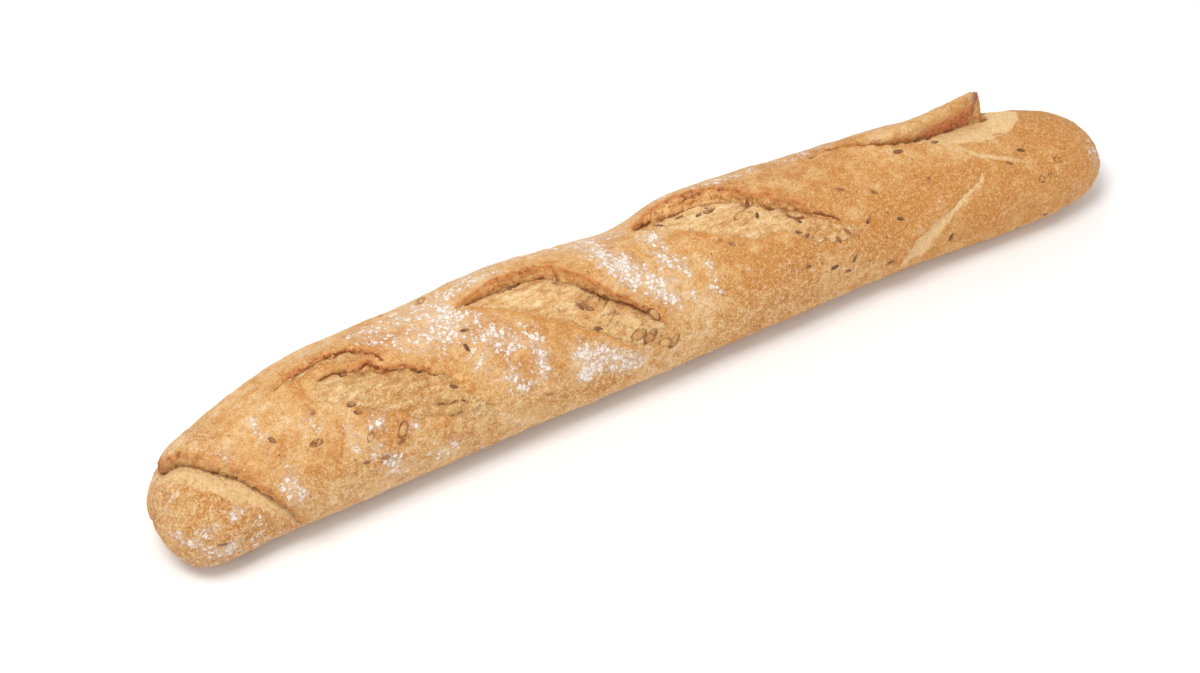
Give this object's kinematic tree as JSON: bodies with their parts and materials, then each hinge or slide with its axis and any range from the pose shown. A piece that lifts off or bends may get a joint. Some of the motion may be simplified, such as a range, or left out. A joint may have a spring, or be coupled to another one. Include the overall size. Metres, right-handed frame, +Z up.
{
  "type": "bread loaf",
  "caption": "Long rustic seeded bread stick with a flat underside, diagonal slashes opened across its top and raised crust lips.",
  "frame": {"origin": "middle of the loaf's footprint, on the surface it lies on", "axes": "+X along the loaf towards the end with the tall raised lip; +Z up, out of the flat underside"},
  "size_m": [0.48, 0.0798, 0.0566],
  "materials": {
    "crust": "baked bread crust: matt, golden brown, dusted with flour, with flax and sunflower seeds in it"
  },
  "bodies": {
    "root": {"loaf": "crust"}
  },
  "joints": []
}
